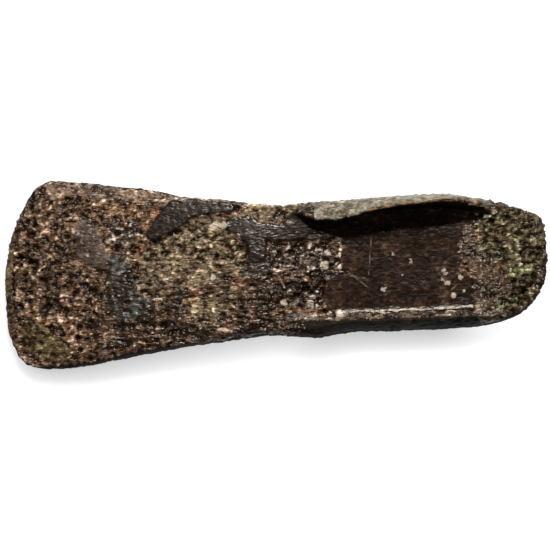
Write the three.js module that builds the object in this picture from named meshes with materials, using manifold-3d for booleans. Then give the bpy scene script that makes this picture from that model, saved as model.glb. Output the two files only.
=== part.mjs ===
// A bronze age winged axe head, cast in one piece and found worn and corroded. Millimetres, +Z up.
//
// The axe is drawn in its own frame first: X runs from the cutting edge to the butt, Y across the blade,
// and Z = 0 is the plane halfway through the metal. Each face has a haft bed between two wings, which are
// the hammered-up edges that gripped the split end of a wooden haft. On the front the +Y wing still
// curls over its bed, and the -Y wing is worn down to a low ridge. The back has two plain wings.
//
// The finished head lies on its back: on the rims of the back wings and on the back of the blade.
import * as THREE from "three";
import { mergeVertices } from "three/addons/utils/BufferGeometryUtils.js";
import Module from "manifold-3d";

// Driving sizes
const LENGTH = 155; // cutting edge to butt
const BLADE_WIDTH = 55.2;
const WAIST_WIDTH = 36;
const WINGS_WIDTH = 36.8;
const BODY_THICKNESS = 12; // the thickest place, just before the haft beds
const WEB_THICKNESS = 7; // between the front bed and the back bed
const BUTT_THICKNESS = 4.4;
const EDGE_THICKNESS = 1.4; // the cutting edge is blunt
const SIDE_BEVEL = 1.1; // the sides are rounded in by this much where they meet a face

// Places along the head, from the cutting edge
const BED_START = 98; // the beds are flat from here
const BED_END = 135; // to here
const BED_RAMP = 26; // the body slopes down into each bed over this length
const BED_STEP = 0.7; // the butt stands this much above each bed
const BED_STEP_RUN = 3; // and rises to it over this length
const BUTT_TAPER_START = BED_END + 5; // the butt thins from here
const BUTT_TAPER_END = LENGTH + 2; // towards here, a little past its end
const BLADE_REST = 22; // the blade touches the table here
const BLADE_REST_HEIGHT = 3.8; // half the blade's thickness there
const CROWN = 0.26; // the share of its height that a face of the blade or body loses from middle to side

// Wings: height is above the middle plane, lean is how far the rim stands inside the side of the head,
// lip is the thickness of the rim, root is the wing's thickness where it meets the bed, and rise and
// fall are the stretches over which the wing grows out of the body and sinks back into the butt.
const BACK_WING_START = 90;
const BACK_RIM_HEIGHT = 8.2; // at the start of the back wings
const REST_DROP = BACK_RIM_HEIGHT - BLADE_REST_HEIGHT; // from the blade's back down to the rims' line
const REST_RUN = BACK_WING_START - BLADE_REST;
const BACK_WING = {
  height: (s) => BACK_RIM_HEIGHT + ((s - BACK_WING_START) * REST_DROP) / REST_RUN,
  lean: () => 4.4,
  lip: 2.2,
  root: 4.4,
  rise: [79, 91],
  fall: [124, 148],
};
const WHOLE_WING = {
  height: profile([
    [78, 7.4], [86, 7.8], [91, 8.5], [96, 9.8], [101, 11.3], [107, 12.3], [114, 12.5], [150, 12.5],
  ]),
  lean: profile([
    [80, 2.6], [84, 4.2], [88, 5.6], [91, 6.5], [96, 7], [100, 6.7], [104, 5.9], [108, 5.1], [114, 4.5],
    [121, 4.1], [131, 3.4], [150, 3.2],
  ]),
  lip: 2,
  root: 3.6,
  rise: [80, 90],
  fall: [125, 146],
};
const WORN_WING = {
  height: profile([[86, 6.6], [98, 7.3], [108, 6.9], [118, 7.3], [130, 7], [142, 6.4]]),
  lean: () => 1.9,
  lip: 0.8,
  root: 3.9,
  rise: [84, 95],
  fall: [128, 143],
};

// Half widths on each side of the middle line, by distance from the cutting edge
const HALF_BLADE = BLADE_WIDTH / 2;
const HALF_WAIST = WAIST_WIDTH / 2;
const HALF_WINGS = WINGS_WIDTH / 2;
const halfWidthPlus = profile([
  [0, HALF_BLADE - 3], [0.7, HALF_BLADE - 2], [1.6, HALF_BLADE - 1.3], [3.8, HALF_BLADE - 0.3],
  [7, HALF_BLADE - 0.3], [12, HALF_BLADE - 0.7], [20, HALF_BLADE - 1.3], [30, HALF_BLADE - 2.6], [41, 23.5],
  [55, 20.7], [66, 19.6], [74, HALF_WAIST + 0.2], [81, HALF_WAIST - 0.2], [86, HALF_WAIST],
  [91, HALF_WINGS - 0.3],
  [100, HALF_WINGS - 0.2], [114, HALF_WINGS + 0.4], [126, HALF_WINGS + 0.5], [134, HALF_WINGS - 0.3],
  [141, 17], [147.5, 15.2], [151.5, 14.2], [153.8, 13.4], [LENGTH, 12.2],
]);
const halfWidthMinus = profile([
  [0, 17.5], [0.7, 21.2], [1.5, 23.5], [3, HALF_BLADE - 2.1], [5, HALF_BLADE - 0.8], [8, HALF_BLADE - 0.1],
  [14, HALF_BLADE + 0.2], [24, HALF_BLADE - 0.5], [30, HALF_BLADE - 1.7], [41, 24], [60, 21.2],
  [68, HALF_WAIST + 2.3], [75, HALF_WAIST + 1.3], [83, HALF_WAIST + 1.8], [90, HALF_WAIST + 2],
  [97, HALF_WINGS + 0.4], [117, HALF_WINGS], [134, HALF_WINGS - 0.5],
  [141, 17.2], [146, 15.9], [150, 14], [152.6, 11.3], [154.2, 8.4], [LENGTH, 5.6],
]);

// The ends are bowed: each point of a cross-section is moved along X by a share of its distance squared
// from the end's foremost point (peak), and the share dies away over a length (reach) towards the middle.
const EDGE_BOW = { peak: -1, plus: 4.9, minus: 1.9, width: 20, reach: 60 };
const BUTT_BOW = { peak: 3, plus: 1, minus: 1, width: 10, reach: 20 };

// Mesh fineness
const SPANS = [[12, 6], [78, 10], [92, 8], [124, 8], [149, 14], [LENGTH, 6]]; // [span's end, steps in it]
const WING_STEPS = 2; // points between two corners of a wing's outline
const BED_STEPS = 6;

// A smooth curve through [distance, value] pairs.
function profile(pairs) {
  const places = pairs.map((pair) => pair[0]);
  const values = pairs.map((pair) => pair[1]);
  const curve = new THREE.CubicInterpolant(places, values, 1, new Float64Array(1));
  return (s) => curve.evaluate(s)[0];
}

const { lerp, smoothstep, clamp } = THREE.MathUtils;

// Half the thickness on the middle line: a wedge that swells to the body, dips to the web, and thins again
// at the butt.
const wedge = profile([
  [0, EDGE_THICKNESS / 2], [3.4, 1.9], [8, 2.6], [BLADE_REST, BLADE_REST_HEIGHT], [40, 4.85], [60, 5.6],
  [75, BODY_THICKNESS / 2], [LENGTH, BODY_THICKNESS / 2],
]);
function halfThickness(s) {
  const web = lerp(wedge(s), WEB_THICKNESS / 2, smoothstep(s, BED_START - BED_RAMP, BED_START));
  const butt = web + BED_STEP * smoothstep(s, BED_END, BED_END + BED_STEP_RUN);
  return lerp(butt, BUTT_THICKNESS / 2, smoothstep(s, BUTT_TAPER_START, BUTT_TAPER_END));
}

// Height of a face without wings, at a share of the half width. It is a little crowned on the blade and
// the body, and flat in the bed.
function faceHeight(s, share) {
  const crown = lerp(CROWN, 0, smoothstep(s, BED_START - BED_RAMP, BED_START));
  return halfThickness(s) * (1 - crown * share * share);
}

// Half of one face's outline, from the side of the head to the edge of the bed, with y and z positive.
// A wing's share is 0 where the face is plain and 1 where the wing stands at its full height. The rim is
// the fourth of the nine corners, and a plain face's corners past it are spread from shoulder to bedEdge.
function halfFace(s, halfWidth, wing) {
  const share = smoothstep(s, ...wing.rise) * (1 - smoothstep(s, ...wing.fall));
  const floor = halfThickness(s);
  const height = wing.height(s);
  const lean = wing.lean(s);
  const under = 0.97 * height - wing.lip;
  const winged = [
    [0, 0], [-0.25, 0.36 * height], [0.28 * lean, 0.73 * height], [0.68 * lean, 0.99 * height],
    [lean, 0.97 * height], [lerp(lean, wing.root, 0.2), under], [0.92 * wing.root, lerp(floor, under, 0.5)],
    [wing.root + 0.1, lerp(floor, under, 0.15)], [wing.root + 1.8, floor],
  ];
  const rim = 3;
  const shoulder = 1 - SIDE_BEVEL / halfWidth;
  const bedEdge = 0.62;
  const sideHeight = faceHeight(s, 1);
  const rounded = [
    [halfWidth, 0], [halfWidth - 0.06, 0.45 * sideHeight], [halfWidth - 0.35 * SIDE_BEVEL, 0.82 * sideHeight],
  ];
  return winged.map(([inset, z], i) => {
    const across = lerp(shoulder, bedEdge, (i - rim) / (winged.length - 1 - rim));
    const [plainY, plainZ] = rounded[i] ?? [across * halfWidth, faceHeight(s, across)];
    return new THREE.Vector3(0, lerp(plainY, halfWidth - inset, share), lerp(plainZ, z, share));
  });
}

// One face's outline, from the +Y side to the -Y side, as [y, z] with z up out of the face.
function faceOutline(s, plusWing, minusWing) {
  const corners = [halfFace(s, halfWidthPlus(s), plusWing), halfFace(s, halfWidthMinus(s), minusWing)];
  const [plus, minus] = corners.map((points) =>
    new THREE.CatmullRomCurve3(points, false, "centripetal").getPoints((points.length - 1) * WING_STEPS),
  );
  const from = plus.at(-1);
  const to = minus.at(-1);
  const bed = [];
  for (let i = 1; i < BED_STEPS; i++) {
    const y = lerp(from.y, -to.y, i / BED_STEPS);
    const share = y / (y > 0 ? halfWidthPlus(s) : halfWidthMinus(s));
    bed.push([y, faceHeight(s, share)]);
  }
  return [...plus.map((p) => [p.y, p.z]), ...bed, ...minus.reverse().map((p) => [-p.y, p.z])];
}

function bowed(y, bow, fade) {
  const side = y > bow.peak ? bow.plus : bow.minus;
  return side * ((y - bow.peak) / bow.width) ** 2 * fade ** 2;
}

// A closed cross-section: the front from +Y to -Y, then the back from -Y to +Y. Both share the side points.
function crossSection(s) {
  const front = faceOutline(s, WHOLE_WING, WORN_WING);
  const back = faceOutline(s, BACK_WING, BACK_WING).map(([y, z]) => [y, -z]);
  const ring = [...front, ...back.slice(1, -1).reverse()];
  const nearEdge = clamp(1 - s / EDGE_BOW.reach, 0, 1);
  const nearButt = clamp(1 - (LENGTH - s) / BUTT_BOW.reach, 0, 1);
  return ring.map(([y, z]) => [s + bowed(y, EDGE_BOW, nearEdge) - bowed(y, BUTT_BOW, nearButt), y, z]);
}

function stations() {
  const found = [0];
  for (const [end, steps] of SPANS) {
    const start = found.at(-1);
    for (let i = 1; i <= steps; i++) {
      found.push(lerp(start, end, i / steps));
    }
  }
  return found;
}

// Skins the cross-sections, and closes each end by joining every front point to the back point behind it.
function loft(rings) {
  const around = rings[0].length;
  const faces = [];
  const quad = (a, b, c, d) => faces.push(a, b, c, a, c, d);
  for (let i = 0; i + 1 < rings.length; i++) {
    for (let j = 0; j < around; j++) {
      const next = (j + 1) % around;
      quad(i * around + j, i * around + next, (i + 1) * around + next, (i + 1) * around + j);
    }
  }
  const last = (rings.length - 1) * around;
  const mirror = (j) => (around - j) % around;
  for (let j = 0; j < around / 2; j++) {
    quad(mirror(j), mirror(j + 1), j + 1, j);
    quad(last + j, last + j + 1, last + mirror(j + 1), last + mirror(j));
  }
  const geometry = new THREE.BufferGeometry();
  geometry.setAttribute("position", new THREE.Float32BufferAttribute(rings.flat(2), 3));
  geometry.setIndex(faces);
  return geometry;
}

const wasm = await Module();
wasm.setup();

function toSolid(geometry) {
  const bare = geometry.clone();
  bare.deleteAttribute("normal");
  bare.deleteAttribute("uv");
  const merged = mergeVertices(bare, 1e-4);
  return new wasm.Manifold(
    new wasm.Mesh({
      numProp: 3,
      vertProperties: merged.attributes.position.array,
      triVerts: new Uint32Array(merged.index.array),
    }),
  );
}

function toGeometry(solid) {
  const mesh = solid.getMesh();
  const geometry = new THREE.BufferGeometry();
  geometry.setAttribute("position", new THREE.BufferAttribute(mesh.vertProperties, 3));
  geometry.setIndex(new THREE.BufferAttribute(mesh.triVerts, 1));
  geometry.computeVertexNormals();
  return geometry;
}

// Lying down, the head is turned about Y until the back rims and the back of the blade reach one plane.
const REST_TILT = Math.atan2(REST_DROP, REST_RUN);
const REST_WEAR = 0.15; // depth of the small flats that are worn where it touches

// A slab under the lying head, turned into the axe's own frame, which takes REST_WEAR off its lowest points.
function wearAtRest(geometry) {
  const lying = geometry.clone().rotateY(-REST_TILT);
  lying.computeBoundingBox();
  const slabHeight = 20;
  const slab = new THREE.BoxGeometry(2 * LENGTH, 2 * BLADE_WIDTH, slabHeight);
  slab.translate(LENGTH / 2, 0, lying.boundingBox.min.z + REST_WEAR - slabHeight / 2);
  slab.rotateY(REST_TILT);
  return toGeometry(toSolid(geometry).subtract(toSolid(slab)));
}

const bronze = new THREE.MeshStandardMaterial({
  name: "corroded_bronze",
  color: 0x3a2a1e,
  roughness: 0.55,
  metalness: 0.35,
});

const axe = new THREE.Mesh(wearAtRest(loft(stations().map(crossSection))), bronze);
axe.name = "axe_head";
axe.rotation.y = -REST_TILT;

// The origin is under the middle of the lying head, on the table.
const box = new THREE.Box3().setFromObject(axe, true);
const middle = box.getCenter(new THREE.Vector3());
axe.position.set(-middle.x, -middle.y, -box.min.z);

const head = new THREE.Group();
head.add(axe);

export default head;
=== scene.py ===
"""A bronze age winged axe head, worn and corroded, lying on a pale floor.

The skin starts as an even mesh of the CAD solid. Each kind of corroded surface has its patches, placed on
the front and scattered on the back, and every point of the skin stores how far it is inside each kind of
patch.
A Geometry Nodes tree raises and pits the skin by those distances, and one material colours it by them.
Patches and finishes are in millimetres, in the part's frame: +X from the cutting edge to the butt, +Z up.
"""
import math
from collections import namedtuple

import bmesh
import bpy
import numpy as np
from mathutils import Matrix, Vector


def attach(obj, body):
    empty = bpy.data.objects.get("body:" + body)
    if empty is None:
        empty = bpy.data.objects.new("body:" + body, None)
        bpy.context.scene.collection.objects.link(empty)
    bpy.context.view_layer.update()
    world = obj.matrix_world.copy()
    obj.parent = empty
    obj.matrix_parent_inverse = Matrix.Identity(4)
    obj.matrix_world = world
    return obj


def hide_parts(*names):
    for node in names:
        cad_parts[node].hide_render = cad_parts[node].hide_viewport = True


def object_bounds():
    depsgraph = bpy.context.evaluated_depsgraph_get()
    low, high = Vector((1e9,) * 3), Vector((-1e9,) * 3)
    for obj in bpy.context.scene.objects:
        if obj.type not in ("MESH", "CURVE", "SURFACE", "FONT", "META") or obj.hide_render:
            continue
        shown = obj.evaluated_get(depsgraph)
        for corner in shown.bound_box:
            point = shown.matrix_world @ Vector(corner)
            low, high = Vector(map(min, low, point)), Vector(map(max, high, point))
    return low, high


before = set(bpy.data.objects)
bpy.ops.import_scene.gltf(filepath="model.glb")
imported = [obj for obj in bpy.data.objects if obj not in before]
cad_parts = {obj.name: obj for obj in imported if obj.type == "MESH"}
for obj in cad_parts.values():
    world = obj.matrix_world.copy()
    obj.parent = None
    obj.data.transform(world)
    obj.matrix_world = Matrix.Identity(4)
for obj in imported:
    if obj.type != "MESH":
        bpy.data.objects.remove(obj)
cad_low, cad_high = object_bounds()

MM = 0.001  # metres in a millimetre

# ---------------------------------------------------------------------------------------------------------
# Kinds of surface
# ---------------------------------------------------------------------------------------------------------

# level is how high the surface stands. nodules, pits, grain and streaks are how far each moves it, and fine
# is the same for the finest grain. ragged is how far its borders stray, rough is how dull its shine is, and
# contrast is how far its colour follows its relief. hollow, body and crest are its colours from low to high
# ground, and tint breaks up the body. The hollow colours are partly the patina there and partly painted
# shade, and the crest colours partly pale corrosion and partly painted highlight.
Surface = namedtuple(
    "Surface",
    "level nodules pits grain streaks fine ragged rough contrast hollow body crest tint",
)

SURFACES = {  # later kinds lie over earlier ones
    "eroded": Surface(
        -0.05, 1.45, 0.75, 0.60, 0.15, 0.30, 1.0, 0.22, 1.0,
        (0.011, 0.005, 0.0025), (0.090, 0.051, 0.029), (0.80, 0.61, 0.44), (0.155, 0.076, 0.036),
    ),
    # The flanks: their own dark brown, darkened almost to black as painted shade, alike on every side.
    "flank_and_painted_shade": Surface(
        -0.05, 0.45, 0.25, 0.15, 0.25, 0.08, 1.5, 0.90, 0.7,
        (0.003, 0.002, 0.0012), (0.008, 0.0055, 0.0035), (0.060, 0.045, 0.034), (0.013, 0.010, 0.006),
    ),
    "bare_edge": Surface(
        -0.10, 0.70, 0.40, 0.38, 0.25, 0.24, 1.6, 0.28, 0.95,
        (0.024, 0.012, 0.007), (0.160, 0.108, 0.077), (0.70, 0.56, 0.44), (0.20, 0.125, 0.080),
    ),
    "wing_face": Surface(
        0.00, 0.60, 0.30, 0.25, 0.35, 0.17, 2.6, 0.32, 0.95,
        (0.070, 0.055, 0.036), (0.215, 0.175, 0.122), (0.74, 0.64, 0.48), (0.180, 0.190, 0.142),
    ),
    "streaked": Surface(
        0.00, 0.75, 0.30, 0.40, 0.90, 0.24, 1.8, 0.22, 0.9,
        (0.006, 0.003, 0.0015), (0.033, 0.018, 0.010), (0.50, 0.35, 0.24), (0.075, 0.037, 0.018),
    ),
    "flaked": Surface(
        -0.30, 1.15, 0.50, 0.60, 0.85, 0.28, 1.2, 0.25, 1.0,
        (0.015, 0.008, 0.003), (0.120, 0.080, 0.045), (0.86, 0.67, 0.47), (0.205, 0.145, 0.072),
    ),
    "speckled": Surface(
        -0.16, 1.45, 0.90, 0.60, 0.06, 0.30, 1.2, 0.22, 1.1,
        (0.009, 0.004, 0.002), (0.036, 0.022, 0.015), (0.78, 0.62, 0.49), (0.095, 0.064, 0.045),
    ),
    "plate": Surface(
        0.28, 0.10, 0.04, 0.07, 0.05, 0.050, 0.5, 0.26, 0.60,
        (0.005, 0.0025, 0.0015), (0.015, 0.0088, 0.0060), (0.14, 0.11, 0.09), (0.024, 0.016, 0.0125),
    ),
    "grey_plate": Surface(
        0.12, 0.45, 0.20, 0.30, 0.25, 0.15, 1.2, 0.25, 0.7,
        (0.022, 0.012, 0.008), (0.070, 0.047, 0.035), (0.40, 0.32, 0.26), (0.105, 0.074, 0.058),
    ),
    "film": Surface(
        0.06, 0.50, 0.22, 0.30, 0.35, 0.18, 1.8, 0.26, 0.75,
        (0.007, 0.004, 0.002), (0.030, 0.021, 0.014), (0.32, 0.29, 0.245), (0.054, 0.052, 0.044),
    ),
    "bed": Surface(
        0.00, 0.04, 0.01, 0.06, 0.03, 0.034, 0.35, 0.25, 1.0,
        (0.007, 0.003, 0.0015), (0.017, 0.0080, 0.0045), (0.080, 0.047, 0.031), (0.027, 0.012, 0.006),
    ),
    "rind": Surface(
        0.16, 0.95, 0.45, 0.50, 0.10, 0.24, 0.9, 0.25, 0.8,
        (0.010, 0.005, 0.003), (0.050, 0.031, 0.019), (0.38, 0.28, 0.21), (0.080, 0.048, 0.028),
    ),
    "crust": Surface(
        0.28, 1.80, 0.75, 0.55, 0.00, 0.28, 1.1, 0.28, 1.0,
        (0.012, 0.007, 0.003), (0.070, 0.047, 0.021), (0.70, 0.61, 0.40), (0.130, 0.124, 0.050),
    ),
    "olive": Surface(
        -0.15, 0.60, 0.30, 0.45, 0.10, 0.20, 0.9, 0.28, 0.9,
        (0.014, 0.007, 0.003), (0.085, 0.057, 0.024), (0.42, 0.33, 0.20), (0.120, 0.097, 0.042),
    ),
    "wing_rim": Surface(
        0.02, 0.50, 0.20, 0.35, 0.05, 0.20, 0.5, 0.28, 0.8,
        (0.030, 0.016, 0.008), (0.25, 0.155, 0.080), (0.76, 0.60, 0.42), (0.30, 0.160, 0.068),
    ),
    # The worn wing's rim: a worn pale line, widened by a painted highlight on the inner slope that faces the
    # light.
    "worn_rim_and_highlight": Surface(
        0.02, 0.50, 0.25, 0.35, 0.50, 0.24, 0.6, 0.28, 0.9,
        (0.010, 0.006, 0.004), (0.055, 0.037, 0.025), (0.70, 0.60, 0.49), (0.120, 0.086, 0.056),
    ),
}

# Patches on the front, seen from above. Each is a stroke of rounds (x, y, radius), read in whole or half
# millimetres, and each round is joined to the next by a tapering band.
FRONT_PATCHES = {
    "bare_edge": [
        [(-64, 25, 2.5), (-52, 23.5, 2.5), (-42, 21.5, 2), (-33, 20.5, 1.5), (-20, 19.5, 1), (-12, 19, 1)],
    ],
    "flaked": [
        [(-33, -4, 5), (-32, 2, 5.5), (-24, 4, 7)],
        [(-24, 1, 6.5), (-15, 1.5, 6.5), (-11.5, 2.5, 4)],
        [(-22, 6, 6), (-15, 7.5, 4.5)],
        [(-23, 10, 3.5), (-19, 12, 3), (-16, 13, 2)],
        [(-13, -8, 3), (-19, -12, 4), (-20, -14.5, 2.5)],
        [(-9, 17.5, 2.5), (-3, 14.5, 4), (3, 15.5, 3), (8, 17.5, 2)],
    ],
    "speckled": [
        [(0, 2, 3), (7, 2, 4.5), (14, 1.5, 4.5), (17, 1.5, 3)],
        [(4, -8, 3.5), (11, -9, 3.5)],
        [(-44, 10.5, 3.5), (-40, 11.5, 3)],
    ],
    "streaked": [
        [(-5, -5, 4), (-5, -10, 4.5)],
        [(4, 18.5, 2), (10, 16, 2)],
        [(-46, -17, 5.5), (-32, -15, 5.5), (-18, -18, 3.5), (-2, -17, 3), (7, -17, 2)],
    ],
    "plate": [
        [(-34, 10, 2), (-30, 13.5, 3.5), (-27, 16, 4), (-22.5, 17.5, 2.5), (-12, 17, 1.5)],
        [(-11, 12, 2.5), (-7, 11, 3.5), (-4.5, 7, 3), (-4.5, 2.5, 2.5)],
        [(-5, 10, 2.5), (2, 9, 2.5), (8, 11, 4), (15, 10.5, 3.5), (21, 13.5, 3.5)],
    ],
    "grey_plate": [
        [(-54, 12.5, 3), (-52, 6, 4), (-49, 3, 3)],
    ],
    "film": [
        [(-44, 1.5, 3), (-43, -4, 4), (-42, -10, 4.5), (-36, -11, 3)],
        [(-26.5, -7.5, 2)],
        [(-8, -1.5, 1.5), (-3, -1, 2)],
    ],
    "bed": [
        [(26, 9, 7), (46, 9, 7), (51, 12, 6)],
        [(25.5, 1, 6.5), (47, 1, 6)],
        [(21, -8.5, 7), (50.5, -9, 7)],
    ],
    "rind": [
        [(55.5, 8, 2), (56, 2, 2.5), (59, -1, 3)],
        [(60, -7, 4), (60, -14, 4)],
        [(60, 15.5, 3), (70, 14.5, 2)],
        [(76.5, 1, 1.5), (75.5, -8, 2)],
    ],
    "crust": [
        [(61, 10, 3.5), (68, 9.5, 5), (73, 8, 4.5)],
        [(61, 4, 3.5), (69, 3, 5), (72.5, 1, 3.5)],
        [(69, -4, 4), (69.5, -9.5, 3), (65, -12.5, 3)],
    ],
    "olive": [
        [(-70, -16, 2.5), (-67, -20, 4.5), (-61, -23.5, 3)],
        [(-76.5, -12, 1.5), (-77, 0, 1.5), (-75, 14, 1.5), (-72.5, 24, 1.5)],
    ],
}

# How many seeded patches of each kind lie on the back.
BACK_SCATTER = {"plate": 7, "flaked": 6, "film": 5, "streaked": 4, "speckled": 4, "olive": 2}

# Small round marks on the front: (x, y, radius), read like the patches.
DEPOSITS = [
    (-16.5, 12, 1.2), (-14, 12, 1.2), (-47, 8.5, 0.9), (-41.5, 7, 0.8), (-26, 8.5, 0.7), (-17, -3, 1),
    (0.5, 3.5, 0.7), (4.5, 5, 0.7), (8, 5, 0.5), (12.5, 4.5, 0.6), (15.5, 3.5, 0.9), (14.5, 0, 1.5),
    (18, 0.5, 0.6), (11.5, -9, 0.7), (13.5, -10, 0.5), (10.5, -11, 1.2), (3, -10.5, 1), (18.5, -14, 1.2),
    (34, 2.5, 0.5), (33, 1, 0.3), (39, 0.5, 0.6), (31, -7.5, 0.9), (35.5, -7.5, 0.5), (36.5, -3.5, 0.3),
    (30.5, -14, 0.8), (48, -2.5, 0.8), (48.5, -3.5, 0.7), (47.5, -5, 0.6), (49, -6, 0.8), (52.5, -4.5, 0.8),
    (50.5, -9.5, 0.8), (53.5, -8.5, 0.5), (53, 4.5, 0.5), (58.5, -4, 0.4),
]
RUST_PITS = [
    (-34, 16, 1.4), (-37, 19.5, 0.9), (-43, 16.5, 0.8), (-42, 13.5, 0.8), (-37, 13, 0.8), (-51, 16.5, 0.8),
    (-37.5, 6.5, 0.8), (-51.5, -22, 0.9), (2, -14.5, 0.8),
]
VERDIGRIS = [(-58.5, 11, 0.4), (-35.5, 1.5, 0.5), (-39, -12.5, 0.6)]
RIDGES = [
    [(-47, 21), (-54, 18), (-63, 13)],
    [(-63.5, 5), (-65, 2), (-69, -1.5)],
    [(-38, 20), (-17, 20)],
    [(19, 6), (19, -2)],
]
GROOVES = [
    [(-65, -15), (-61, -19), (-56.5, -23.5)],
    [(-72, 20), (-74.5, 10), (-75, 0), (-74.5, -10)],
    [(-48, 8), (-44, 5)],
    [(-30, -16.5), (-46, -16)],
]
SCRATCHES = [
    [(28, 8), (27.5, 3), (27, -3)],
    [(21, -2), (24, -4.5), (27, -7)],
    [(20, -3), (26, -4)],
    [(50, -8), (51.5, -6.5)],
]

# ---------------------------------------------------------------------------------------------------------
# The skin and what it stores
# ---------------------------------------------------------------------------------------------------------

SKIN_CELL = 0.46  # the skin's even mesh, mm
FAR = 9.0  # a stored distance stops here, mm
MIDDLE_HEIGHT = 7.25  # the plane halfway through the metal, above the origin
MIDDLE_SLOPE = 0.0647  # and how fast it climbs along X
BED_FLOOR = 3.5  # the bed's floor above that plane
BACK_SEED = 11
EDGE_ON = 0.12  # a surface whose normal has less Z than this faces neither up nor down
FADE = 4  # how fast a patch fades as the surface turns away, mm for each unit of its normal
FLANK_STEEPNESS = 0.62  # a surface whose normal has less Z than this is the head's flank
WINGED_FROM = 12  # from here along X, a patch beside a wing doesn't climb it
CLIMB = 2.2  # more than this above the bed's floor
WINGS_FROM = 1  # the wings stand between these places along X
WINGS_TO = 66
WING_FOOT = 1.6  # and more than this above the bed's floor
WHOLE_WING_FROM = 11.5  # the whole wing is past this place along Y
WING_FACE_START = 12  # the whole wing's pale outer face starts here along X, on the middle plane
WING_FACE_SLANT = 1.2  # and this much earlier for each mm above that plane
WORN_RIM_MIDDLE = -14.9  # Y of the pale band along the worn wing's rim, partly its worn colour and partly a painted highlight
WORN_RIM_HALF_WIDTH = 0.9
WORN_SIDE_SHADE_FROM = -16.0  # the worn wing's outer side is darkened from here outwards, partly its own dark brown and partly painted shade


def plain_mesh(thing, name):
    """The thing's mesh as its modifiers leave it. The thing itself is removed."""
    graph = bpy.context.evaluated_depsgraph_get()
    mesh = bpy.data.meshes.new_from_object(thing.evaluated_get(graph))
    mesh.name = name
    bpy.data.objects.remove(thing)
    return mesh


def linked(name, data):
    thing = bpy.data.objects.new(name, data)
    bpy.context.scene.collection.objects.link(thing)
    return thing


def even_skin():
    """The CAD solid's surface as an even mesh with softened facets."""
    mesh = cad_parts["axe_head"].data.copy()
    mesh.materials.clear()
    work = bmesh.new()
    work.from_mesh(mesh)
    bmesh.ops.remove_doubles(work, verts=work.verts, dist=0.001 * MM)
    work.to_mesh(mesh)
    work.free()
    thing = linked("skin", mesh)
    remesh = thing.modifiers.new("Even cells", "REMESH")
    remesh.mode = "VOXEL"
    remesh.voxel_size = SKIN_CELL * MM
    soften = thing.modifiers.new("Soften", "SMOOTH")
    soften.factor = 0.5
    soften.iterations = 5
    return plain_mesh(thing, "axe_skin")


def stroke_distance(points, strokes):
    """How far each point is inside the nearest of some strokes, negative outside."""
    best = np.full(len(points), -1e9)
    for stroke in strokes:
        for start, end in zip(stroke, stroke[1:] or stroke):
            place = np.array(start[:2], float)
            run = np.array(end[:2], float) - place
            share = np.clip(((points - place) @ run) / (run @ run or 1.0), 0, 1)
            gap = np.linalg.norm(points - place - share[:, None] * run, axis=1)
            best = np.maximum(best, start[2] + share * (end[2] - start[2]) - gap)
    return best


def marks_distance(points, marks):
    """How far each point is inside the nearest of some round marks."""
    return stroke_distance(points, [[mark] for mark in marks])


def line_distance(points, lines):
    """How far each point is from the nearest of some lines."""
    return -stroke_distance(points, [[(x, y, 0) for x, y in line] for line in lines])


def scattered_strokes(random, count):
    """Seeded strokes over the back, of three rounds each."""
    strokes = []
    for _ in range(count):
        x, y = random.uniform(-70, 72), random.uniform(-18, 18)
        stroke = []
        for _ in range(3):
            stroke.append((x, y, random.uniform(2.5, 6)))
            x, y = x + random.uniform(-6, 6), y + random.uniform(-3, 3)
        strokes.append(stroke)
    return strokes


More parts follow.
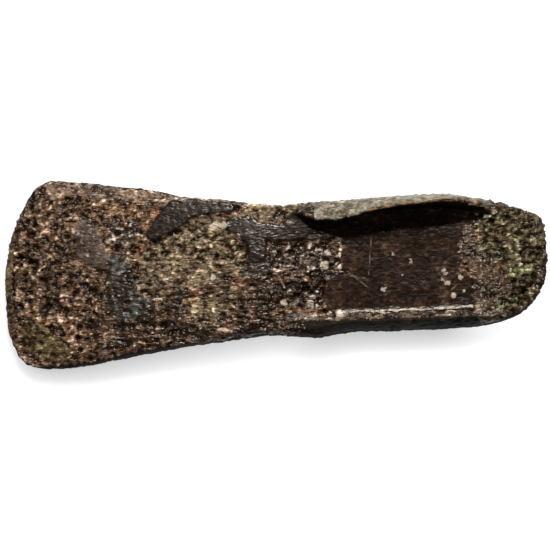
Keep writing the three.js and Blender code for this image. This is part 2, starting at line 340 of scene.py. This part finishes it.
def stored_distances(place, normal):
    """Every attribute that the skin stores for its relief and its colours, by name, in mm."""
    seen = place[:, :2]
    above = place[:, 2] - MIDDLE_HEIGHT - MIDDLE_SLOPE * place[:, 0]
    faces_up = (normal[:, 2] - EDGE_ON) * FADE
    faces_down = (-normal[:, 2] - EDGE_ON) * FADE
    ceiling = np.where(place[:, 0] > WINGED_FROM, BED_FLOOR + CLIMB, FAR)
    random = np.random.default_rng(BACK_SEED)
    stored = {}
    for kind in SURFACES:
        front = stroke_distance(seen, FRONT_PATCHES.get(kind, []))
        back = stroke_distance(seen, scattered_strokes(random, BACK_SCATTER.get(kind, 0)))
        facing = faces_up + 1.0 if kind == "bed" else faces_up
        front = np.minimum(front, np.minimum(facing, ceiling - above))
        stored[kind] = np.maximum(front, np.minimum(back, faces_down))
    along, across = place[:, 0], place[:, 1]
    beside_wing = np.minimum(along - WINGS_FROM, WINGS_TO - along)
    stands = np.minimum(above - BED_FLOOR - WING_FOOT, beside_wing)
    stored["flank_and_painted_shade"] = (FLANK_STEEPNESS - np.abs(normal[:, 2])) * FADE
    upper_wing = np.minimum(stands, across - WHOLE_WING_FROM)
    outer = (normal[:, 1] + 0.2 + 0.8 * np.maximum(normal[:, 2], 0)) * 3
    wing_start = (along - WING_FACE_START + WING_FACE_SLANT * above) / 2
    face = np.minimum(stands + 3.2 * (normal[:, 1] > 0.2), across - WHOLE_WING_FROM)
    stored["wing_face"] = np.minimum(np.minimum(face, outer), wing_start)
    lip = 1.2 - np.abs(normal[:, 1] + 0.4) * 2.4
    stored["wing_rim"] = np.minimum(np.minimum(upper_wing - 2, lip), normal[:, 2] * 3)
    # The pale band along the worn rim is partly its worn colour and partly a painted highlight on the lit
    # slope.
    rim_band = WORN_RIM_HALF_WIDTH - np.abs(across - WORN_RIM_MIDDLE)
    stored["worn_rim_and_highlight"] = np.minimum(np.minimum(stands + 1.3, rim_band * 2), (normal[:, 2] - 0.3) * FADE)
    # The worn wing's outer side is darkened like the flanks: partly dark brown, partly painted shade.
    stored["flank_and_painted_shade"] = np.maximum(stored["flank_and_painted_shade"], np.minimum(stands + 1.3, (WORN_SIDE_SHADE_FROM - across) * 2))
    # Painted shade: the upper wing's faces turned inwards, under its curled rim, are marked to be coloured
    # near black.
    turned_in = (-normal[:, 1] - 0.1) * 3 - np.maximum(normal[:, 2], 0) * FADE
    stored["painted_shade_under_wing"] = np.minimum(upper_wing + 2, turned_in)
    stored["deposit"] = np.minimum(marks_distance(seen, DEPOSITS), faces_up)
    stored["rust"] = np.minimum(marks_distance(seen, RUST_PITS), faces_up)
    stored["verdigris"] = np.minimum(marks_distance(seen, VERDIGRIS), faces_up)
    for name, lines in (("ridge", RIDGES), ("groove", GROOVES), ("scratch", SCRATCHES)):
        stored[name] = np.where(faces_up > 0, line_distance(seen, lines), FAR)
    return {name: np.clip(values, -FAR, FAR) for name, values in stored.items()}


def store(mesh, name, values):
    kind = "FLOAT" if values.ndim == 1 else "FLOAT_VECTOR"
    field = "value" if values.ndim == 1 else "vector"
    attribute = mesh.attributes.new(name, kind, "POINT")
    attribute.data.foreach_set(field, values.astype(np.float32).ravel())


def mark_skin(mesh):
    count = len(mesh.vertices)
    place = np.empty(count * 3, np.float32)
    normal = np.empty(count * 3, np.float32)
    mesh.vertices.foreach_get("co", place)
    mesh.vertex_normals.foreach_get("vector", normal)
    place = place.reshape(-1, 3) / MM
    store(mesh, "place", place)
    for name, values in stored_distances(place, normal.reshape(-1, 3)).items():
        store(mesh, name, values)


# ---------------------------------------------------------------------------------------------------------
# Node building
# ---------------------------------------------------------------------------------------------------------


NOISE_LUMP = 0.7  # how wide a lump of the noise is at scale 1, mm


class Wiring:
    """Adds nodes to a tree and links them, so that a recipe reads as a formula."""

    def __init__(self, tree):
        self.tree = tree
        self.geometry = tree.bl_idname == "GeometryNodeTree"

    def node(self, kind, settings=(), inputs=()):
        made = self.tree.nodes.new(kind)
        for name, value in dict(settings).items():
            setattr(made, name, value)
        for key, value in dict(inputs).items():
            self.feed(made.inputs[key], value)
        return made

    def feed(self, socket, value):
        if isinstance(value, bpy.types.NodeSocket):
            self.tree.links.new(value, socket)
        else:
            socket.default_value = value

    def math(self, operation, a, b=0.0, clamp=False):
        settings = {"operation": operation, "use_clamp": clamp}
        return self.node("ShaderNodeMath", settings, {0: a, 1: b}).outputs[0]

    def vector(self, operation, a, b=(0, 0, 0)):
        return self.node("ShaderNodeVectorMath", {"operation": operation}, {0: a, 1: b}).outputs[0]

    def dot(self, a, b):
        return self.node("ShaderNodeVectorMath", {"operation": "DOT_PRODUCT"}, {0: a, 1: b}).outputs["Value"]

    def packed(self, x, y, z):
        return self.node("ShaderNodeCombineXYZ", (), {0: x, 1: y, 2: z}).outputs[0]

    def step(self, value, low, high):
        """0 below low, 1 above high, and smooth between them."""
        return self.node(
            "ShaderNodeMapRange",
            {"interpolation_type": "SMOOTHSTEP"},
            {"Value": value, "From Min": low, "From Max": high, "To Min": 0.0, "To Max": 1.0},
        ).outputs[0]

    def noise(self, place, size, detail=2.0, roughness=0.5):
        """Noise around 0, mostly within 0.5 either way, whose lumps are about size across."""
        scale = self.math("DIVIDE", NOISE_LUMP, size)
        inputs = {"Vector": place, "Scale": scale, "Detail": detail, "Roughness": roughness}
        found = self.node("ShaderNodeTexNoise", (), inputs).outputs[0]
        return self.math("MULTIPLY", self.math("SUBTRACT", found, 0.5), 2.0)

    def swirl(self, place, size):
        """A vector of noise around 0."""
        inputs = {"Vector": place, "Scale": NOISE_LUMP / size, "Detail": 2.0}
        found = self.node("ShaderNodeTexNoise", (), inputs).outputs[1]
        return self.vector("SUBTRACT", found, (0.5, 0.5, 0.5))

    def cells(self, place, size):
        """Distance from the middle of the nearest of some random cells, in cells."""
        inputs = {"Vector": place, "Scale": self.math("DIVIDE", 1.0, size)}
        return self.node("ShaderNodeTexVoronoi", (), inputs).outputs["Distance"]

    def stored(self, name, vector=False):
        if self.geometry:
            kind = "FLOAT_VECTOR" if vector else "FLOAT"
            found = self.node("GeometryNodeInputNamedAttribute", {"data_type": kind}, {"Name": name})
            return next(o for o in found.outputs if o.enabled and o.name == "Attribute")
        found = self.node("ShaderNodeAttribute", {"attribute_name": name})
        return found.outputs["Vector" if vector else "Fac"]

    def mix_vector(self, share, a, b):
        """a where share is 0, b where it is 1."""
        made = self.node("ShaderNodeMix", {"data_type": "VECTOR"})
        self.feed(made.inputs[0], share)
        self.feed(made.inputs[4], a)
        self.feed(made.inputs[5], b)
        return made.outputs[1]

    def mix_colour(self, share, a, b):
        made = self.node("ShaderNodeMix", {"data_type": "RGBA"})
        self.feed(made.inputs[0], share)
        self.feed(made.inputs[6], opaque(a))
        self.feed(made.inputs[7], opaque(b))
        return made.outputs[2]


def opaque(colour):
    return (*colour, 1.0) if isinstance(colour, tuple) and len(colour) == 3 else colour


def socket(tree, name, kind, way="INPUT"):
    tree.interface.new_socket(name, in_out=way, socket_type=kind)


def border_noise(w, place):
    """How far a ragged border strays, within about 1 either way."""
    wide = w.noise(place, 1.9, 3.0, 0.6)
    narrow = w.noise(place, 0.6, 2.0, 0.6)
    return w.math("ADD", wide, w.math("MULTIPLY", narrow, 0.5))


def patch_share(w, kind, wander, softness):
    """0 outside the patches of that kind and 1 inside, with a ragged border."""
    edge = w.math("ADD", w.stored(kind), w.math("MULTIPLY", wander, SURFACES[kind].ragged))
    return w.step(edge, -softness, softness)


def line_share(w, name, wander):
    """1 along those lines, which stray and break, and 0 away from them."""
    return w.step(w.math("ADD", w.stored(name), w.math("MULTIPLY", wander, 0.9)), 0.6, 0.05)


def over_patches(w, wander, softness, first, layer):
    """What layer(below, surface, share) builds up over each kind of patch in turn."""
    built = first
    for kind, surface in list(SURFACES.items())[1:]:
        built = layer(built, surface, patch_share(w, kind, wander, softness))
    return built


# ---------------------------------------------------------------------------------------------------------
# Relief
# ---------------------------------------------------------------------------------------------------------

RELIEF_INPUTS = {  # sizes in mm
    "Seed": 3.0,
    "Nodule size": 1.6,
    "Dome size": 1.3,
    "Pit size": 2.3,
    "Grain size": 0.85,
    "Streak width": 0.8,
    "Wave size": 9.0,
    "Wave height": 0.25,
    "Warp": 0.9,
    "Knob height": 0.12,
    "Rust depth": 0.4,
    "Ridge height": 0.22,
    "Unevenness": 1.3,
    "Box low": cad_low,
    "Box high": cad_high,
}

SEED_STRIDE = 31.0  # how far apart two seeds read the noise, mm
RELIEF_BORDER = 0.2  # half the width over which one patch's relief passes into the next, mm
COLOUR_BORDER = 0.1  # the same for its colour


def relief_tree():
    """Raises and pits the skin by its stored patches, and stores how high each point stands in its patch."""
    tree = bpy.data.node_groups.new("Corroded relief", "GeometryNodeTree")
    socket(tree, "Geometry", "NodeSocketGeometry")
    for name, value in RELIEF_INPUTS.items():
        socket(tree, name, "NodeSocketFloat" if isinstance(value, float) else "NodeSocketVector")
    socket(tree, "Skin material", "NodeSocketMaterial")
    socket(tree, "Geometry", "NodeSocketGeometry", "OUTPUT")
    w = Wiring(tree)
    given = w.node("NodeGroupInput").outputs

    place = w.stored("place", vector=True)
    wander = border_noise(w, place)
    seed = w.math("MULTIPLY", given["Seed"], SEED_STRIDE)
    seeded = w.vector("ADD", place, w.packed(seed, seed, seed))
    warp = w.vector("MULTIPLY", w.swirl(seeded, 1.6), w.packed(given["Warp"], given["Warp"], given["Warp"]))
    warped = w.vector("ADD", seeded, warp)
    first = SURFACES["eroded"]

    def mixed(*fields):
        """Up to three of each surface's numbers, as one vector that changes from patch to patch."""

        def values(surface):
            found = [getattr(surface, field) for field in fields]
            return (*found, *[0.0] * (3 - len(found)))

        def layer(below, surface, share):
            return w.mix_vector(share, below, values(surface))

        return over_patches(w, wander, RELIEF_BORDER, values(first), layer)

    amounts = mixed("nodules", "pits", "grain")
    others = mixed("streaks", "level")

    swells = w.math("MULTIPLY", w.noise(warped, given["Nodule size"], 3.0, 0.6), 0.7)
    domes = w.math("MULTIPLY", w.math("SUBTRACT", 0.42, w.cells(warped, given["Dome size"])), 0.8)
    nodules = w.math("ADD", swells, domes)
    bowls = w.math("MULTIPLY", w.step(w.cells(warped, given["Pit size"]), 0.5, 0.12), -1.0)
    grain = w.noise(seeded, given["Grain size"], 2.0, 0.6)
    lengthwise = w.vector("MULTIPLY", seeded, (0.14, 1.0, 0.6))
    streaks = w.noise(lengthwise, given["Streak width"], 2.0, 0.55)
    waves = w.noise(seeded, given["Wave size"], 2.0)
    lumps = w.dot(amounts, w.packed(nodules, bowls, grain))
    moves = w.math("ADD", lumps, w.dot(others, w.packed(streaks, 0.0, 0.0)))
    moves = w.math("MULTIPLY", moves, w.math("ADD", w.math("MULTIPLY", waves, given["Unevenness"]), 1.0))
    reach = w.math("ADD", w.dot(amounts, (0.55, 0.45, 0.35)), w.dot(others, (0.5, 0.0, 0.0)))
    relief = w.math("ADD", w.math("MULTIPLY", w.math("DIVIDE", moves, reach), 0.7), 0.55, clamp=True)

    knobs = w.step(w.math("ADD", w.stored("deposit"), nodules), -0.35, 0.6)
    unpitted = w.step(w.math("ADD", w.stored("rust"), nodules), 0.7, -0.5)
    extras = (
        w.dot(others, (0.0, 1.0, 0.0)),
        w.math("MULTIPLY", waves, given["Wave height"]),
        w.math("MULTIPLY", knobs, given["Knob height"]),
        w.math("MULTIPLY", unpitted, given["Rust depth"]),
        w.math("MULTIPLY", line_share(w, "ridge", wander), given["Ridge height"]),
        w.math("MULTIPLY", line_share(w, "groove", wander), w.math("MULTIPLY", given["Ridge height"], -1.5)),
        w.math("MULTIPLY", given["Rust depth"], -1.0),
    )
    height = moves
    for extra in extras:
        height = w.math("ADD", height, extra)

    named = w.node(
        "GeometryNodeStoreNamedAttribute",
        {"data_type": "FLOAT", "domain": "POINT"},
        {"Geometry": given["Geometry"], "Name": "relief"},
    )
    w.feed(next(s for s in named.inputs if s.enabled and s.name == "Value"), relief)
    push = w.node("ShaderNodeVectorMath", {"operation": "SCALE"})
    w.feed(push.inputs[0], w.node("GeometryNodeInputNormal").outputs[0])
    w.feed(push.inputs["Scale"], w.math("MULTIPLY", height, MM))
    moved = w.node("GeometryNodeSetPosition", (), {"Geometry": named.outputs[0], "Offset": push.outputs[0]})
    where = w.node("GeometryNodeInputPosition").outputs[0]
    boxed = w.vector("MINIMUM", w.vector("MAXIMUM", where, given["Box low"]), given["Box high"])
    rested = w.node("GeometryNodeSetPosition", (), {"Geometry": moved.outputs[0], "Position": boxed})
    shaded = w.node("GeometryNodeSetShadeSmooth", (), {"Geometry": rested.outputs[0]})
    real = w.node("GeometryNodeRealizeInstances", (), {0: shaded.outputs[0]})
    paint = {"Geometry": real.outputs[0], "Material": given["Skin material"]}
    painted = w.node("GeometryNodeSetMaterial", (), paint)
    w.feed(w.node("NodeGroupOutput").inputs[0], painted.outputs[0])
    return tree


# ---------------------------------------------------------------------------------------------------------
# Material
# ---------------------------------------------------------------------------------------------------------

RUST_COLOUR = (0.40, 0.19, 0.085)
DEPOSIT_COLOUR = (0.46, 0.37, 0.28)
VERDIGRIS_COLOUR = (0.05, 0.17, 0.14)
SCRATCH_COLOUR = (0.20, 0.15, 0.11)
# Near black: painted shade on the inward faces under the curled wing.
PAINTED_SHADE_UNDER_WING_COLOUR = (0.008, 0.005, 0.003)


def weathered_and_painted_relief_group():
    """Hollow, body and crest colours laid by height, with the height roughened by a fine speckle. The
    hollows are darkened partly by their patina and partly as painted shade, and the crests lightened partly
    by pale corrosion and partly as a painted highlight.
    """
    tree = bpy.data.node_groups.new("Weathered colour and painted relief shade", "ShaderNodeTree")
    for name in ("Height", "Speckle", "Contrast", "Tinted"):
        socket(tree, name, "NodeSocketFloat")
    for name in ("Hollow", "Body", "Crest", "Tint"):
        socket(tree, name, "NodeSocketColor")
    socket(tree, "Colour", "NodeSocketColor", "OUTPUT")
    w = Wiring(tree)
    given = w.node("NodeGroupInput").outputs
    above_middle = w.math("SUBTRACT", w.math("ADD", given["Height"], given["Speckle"]), 0.55)
    level = w.math("ADD", w.math("MULTIPLY", above_middle, given["Contrast"]), 0.55)
    body = w.mix_colour(given["Tinted"], given["Body"], given["Tint"])
    # Dark hollows: patina and painted shade. Pale crests: pale corrosion and painted highlight.
    low = w.mix_colour(w.step(level, 0.22, 0.62), given["Hollow"], body)
    full = w.mix_colour(w.step(level, 0.66, 1.15), low, given["Crest"])
    w.feed(w.node("NodeGroupOutput").inputs[0], full)
    return tree


def corroded_bronze():
    material = bpy.data.materials.new("Corroded bronze")
    material.use_nodes = True
    tree = material.node_tree
    tree.nodes.clear()
    w = Wiring(tree)
    weathered_and_painted_relief = weathered_and_painted_relief_group()

    place = w.stored("place", vector=True)
    wander = border_noise(w, place)
    lengthwise = w.vector("MULTIPLY", place, (0.5, 1.0, 0.8))
    speckle = w.noise(lengthwise, 0.72, 3.0, 0.7)
    mottle = w.noise(place, 3.6, 4.0, 0.6)
    # Ridges are coloured lighter and grooves darker: a painted highlight along the ridges and painted shade
    # in the grooves.
    lines = w.math("SUBTRACT", line_share(w, "ridge", wander), line_share(w, "groove", wander))
    marks = {
        "Height": w.math("ADD", w.stored("relief"), w.math("MULTIPLY", lines, 0.35)),
        "Speckle": w.math("ADD", w.math("MULTIPLY", speckle, 1.0), w.math("MULTIPLY", mottle, 0.55)),
        "Tinted": w.step(w.math("ADD", mottle, w.math("MULTIPLY", speckle, 0.5)), 0.0, 0.25),
    }

    def coloured(surface):
        inputs = {
            **marks,
            "Contrast": surface.contrast,
            "Hollow": opaque(surface.hollow),
            "Body": opaque(surface.body),
            "Crest": opaque(surface.crest),
            "Tint": opaque(surface.tint),
        }
        return w.node("ShaderNodeGroup", {"node_tree": weathered_and_painted_relief}, inputs).outputs[0]

    first = SURFACES["eroded"]
    colour = over_patches(
        w, wander, COLOUR_BORDER, coloured(first),
        lambda below, surface, share: w.mix_colour(share, below, coloured(surface)),
    )
    finish = over_patches(
        w, wander, COLOUR_BORDER, (first.rough, first.fine, 0.0),
        lambda below, surface, share: w.mix_vector(share, below, (surface.rough, surface.fine, 0.0)),
    )

    stray = w.math("ADD", w.math("MULTIPLY", wander, 0.4), w.math("MULTIPLY", w.noise(place, 0.5, 2.0), 0.7))
    deposit = w.step(w.math("ADD", w.stored("deposit"), stray), -0.05, 0.3)
    rust = w.step(w.math("ADD", w.stored("rust"), stray), 0.0, 0.6)
    verdigris = w.step(w.math("ADD", w.stored("verdigris"), stray), 0.0, 0.2)
    colour = w.mix_colour(w.math("MULTIPLY", rust, 0.7), colour, RUST_COLOUR)
    colour = w.mix_colour(w.math("MULTIPLY", deposit, 0.75), colour, DEPOSIT_COLOUR)
    colour = w.mix_colour(w.math("MULTIPLY", verdigris, 0.8), colour, VERDIGRIS_COLOUR)
    scratch = w.step(w.math("ADD", w.stored("scratch"), w.math("MULTIPLY", speckle, 0.3)), 0.26, 0.1)
    colour = w.mix_colour(w.math("MULTIPLY", scratch, 0.5), colour, SCRATCH_COLOUR)
    # Painted shade: the faces under the curled wing are darkened almost to black.
    under_wing_shade = w.step(w.stored("painted_shade_under_wing"), -0.3, 0.5)
    colour = w.mix_colour(w.math("MULTIPLY", under_wing_shade, 0.85), colour, PAINTED_SHADE_UNDER_WING_COLOUR)

    fine = w.noise(lengthwise, 0.42, 1.0)
    bump_height = w.math("MULTIPLY", fine, w.dot(finish, (0.0, 1.0, 0.0)))
    bump = w.node("ShaderNodeBump", (), {"Strength": 1.0, "Distance": MM, "Height": bump_height})
    rough = w.math("ADD", w.dot(finish, (1.0, 0.0, 0.0)), w.math("MULTIPLY", speckle, 0.12))
    inputs = {"Base Color": colour, "Roughness": rough, "Normal": bump.outputs[0]}
    inputs.update({"IOR": 1.5, "Specular IOR Level": 0.22, "Specular Tint": (1.0, 0.88, 0.76, 1.0)})
    shader = w.node("ShaderNodeBsdfPrincipled", (), inputs)
    w.feed(w.node("ShaderNodeOutputMaterial").inputs[0], shader.outputs[0])
    return material


# ---------------------------------------------------------------------------------------------------------
# The axe head
# ---------------------------------------------------------------------------------------------------------


def corroded_head():
    skin = even_skin()
    mark_skin(skin)
    thing = linked("relief", skin)
    modifier = thing.modifiers.new("Corroded relief", "NODES")
    modifier.node_group = relief_tree()
    chosen = {**RELIEF_INPUTS, "Skin material": corroded_bronze()}
    for item in modifier.node_group.interface.items_tree:
        if item.in_out == "INPUT" and item.name in chosen:
            modifier[item.identifier] = chosen[item.name]
    head = linked("corroded_axe_head", plain_mesh(thing, "corroded_axe_head"))
    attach(head, "root")
    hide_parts("axe_head")
    return head


# ---------------------------------------------------------------------------------------------------------
# Floor, light and camera
# ---------------------------------------------------------------------------------------------------------


def direction(azimuth, elevation):
    """From the object towards something seen at that azimuth, 0 behind -Y, and elevation, in degrees."""
    a, e = math.radians(azimuth), math.radians(elevation)
    return Vector((math.sin(a) * math.cos(e), -math.cos(a) * math.cos(e), math.sin(e)))


KEY_AZIMUTH = 176
KEY_ELEVATION = 52
SHADE_ELEVATION = KEY_ELEVATION - 12  # the floor's contact shade leans a little lower than the key light
SHADE_REACH = 7.5 * MM
FLOOR_HALF = 1.5
FLOOR_GLOW = 0.36  # the floor's own light where the head shades it most
OPEN_GLOW = 0.66  # and how much more it has in the open


def aim(thing, away):
    thing.rotation_mode = "QUATERNION"
    thing.rotation_quaternion = away.to_track_quat("Z", "Y")


def pale_floor():
    mesh = bpy.data.meshes.new("floor")
    corners = [(FLOOR_HALF * x, FLOOR_HALF * y, 0) for x, y in ((-1, -1), (1, -1), (1, 1), (-1, 1))]
    mesh.from_pydata(corners, [], [(0, 1, 2, 3)])
    floor = linked("floor", mesh)
    floor.location.z = -0.05 * MM
    material = bpy.data.materials.new("Pale floor")
    material.use_nodes = True
    shader = material.node_tree.nodes["Principled BSDF"]
    shader.inputs["Base Color"].default_value = (0.12, 0.12, 0.12, 1)
    shader.inputs["Roughness"].default_value = 0.9
    shader.inputs["Specular IOR Level"].default_value = 0.0
    shader.inputs["Emission Color"].default_value = (1, 1, 1, 1)
    w = Wiring(material.node_tree)
    towards_key = w.packed(*direction(KEY_AZIMUTH, SHADE_ELEVATION))
    reach = {"Distance": SHADE_REACH, "Normal": towards_key}
    shade = w.node("ShaderNodeAmbientOcclusion", {"samples": 8}, reach)
    glow = w.math("ADD", w.math("MULTIPLY", shade.outputs["AO"], OPEN_GLOW), FLOOR_GLOW)
    w.feed(shader.inputs["Emission Strength"], glow)
    mesh.materials.append(material)


def soft_box(name, azimuth, elevation, distance, size, power):
    light = bpy.data.lights.new(name, "AREA")
    light.shape = "SQUARE"
    light.size = size
    light.energy = power
    thing = linked(name, light)
    away = direction(azimuth, elevation)
    thing.location = away * distance
    aim(thing, away)


def studio():
    soft_box("key_light", KEY_AZIMUTH, KEY_ELEVATION, distance=0.9, size=0.24, power=13.0)
    soft_box("fill_light", azimuth=-60, elevation=60, distance=1.2, size=0.5, power=1.2)
    world = bpy.data.worlds.new("studio")
    world.use_nodes = True
    world.node_tree.nodes["Background"].inputs["Color"].default_value = (1, 1, 1, 1)
    world.node_tree.nodes["Background"].inputs["Strength"].default_value = 0.05
    bpy.context.scene.world = world
    bpy.context.scene.view_settings.view_transform = "Standard"


CAMERA_AZIMUTH = -0.8
CAMERA_ELEVATION = 80
CAMERA_LENS = 102.0  # on a 36 mm wide sensor
VIEW_WIDTH = 155.6 * MM  # across the view, at the head
AIM_SIDE = 0.58 * MM  # the aim is this far right of the middle of the CAD box, as the camera sees it
AIM_UP = -2.6 * MM


def camera():
    lens = bpy.data.cameras.new("camera")
    lens.lens = CAMERA_LENS
    lens.sensor_width = 36
    lens.clip_start = 0.01
    thing = linked("camera", lens)
    away = direction(CAMERA_AZIMUTH, CAMERA_ELEVATION)
    right = Vector((0, 0, 1)).cross(away).normalized()
    up = away.cross(right)
    target = (cad_low + cad_high) / 2 + right * AIM_SIDE + up * AIM_UP
    thing.location = target + away * (VIEW_WIDTH * CAMERA_LENS / lens.sensor_width)
    aim(thing, away)
    bpy.context.scene.camera = thing


corroded_head()
pale_floor()
studio()
camera()
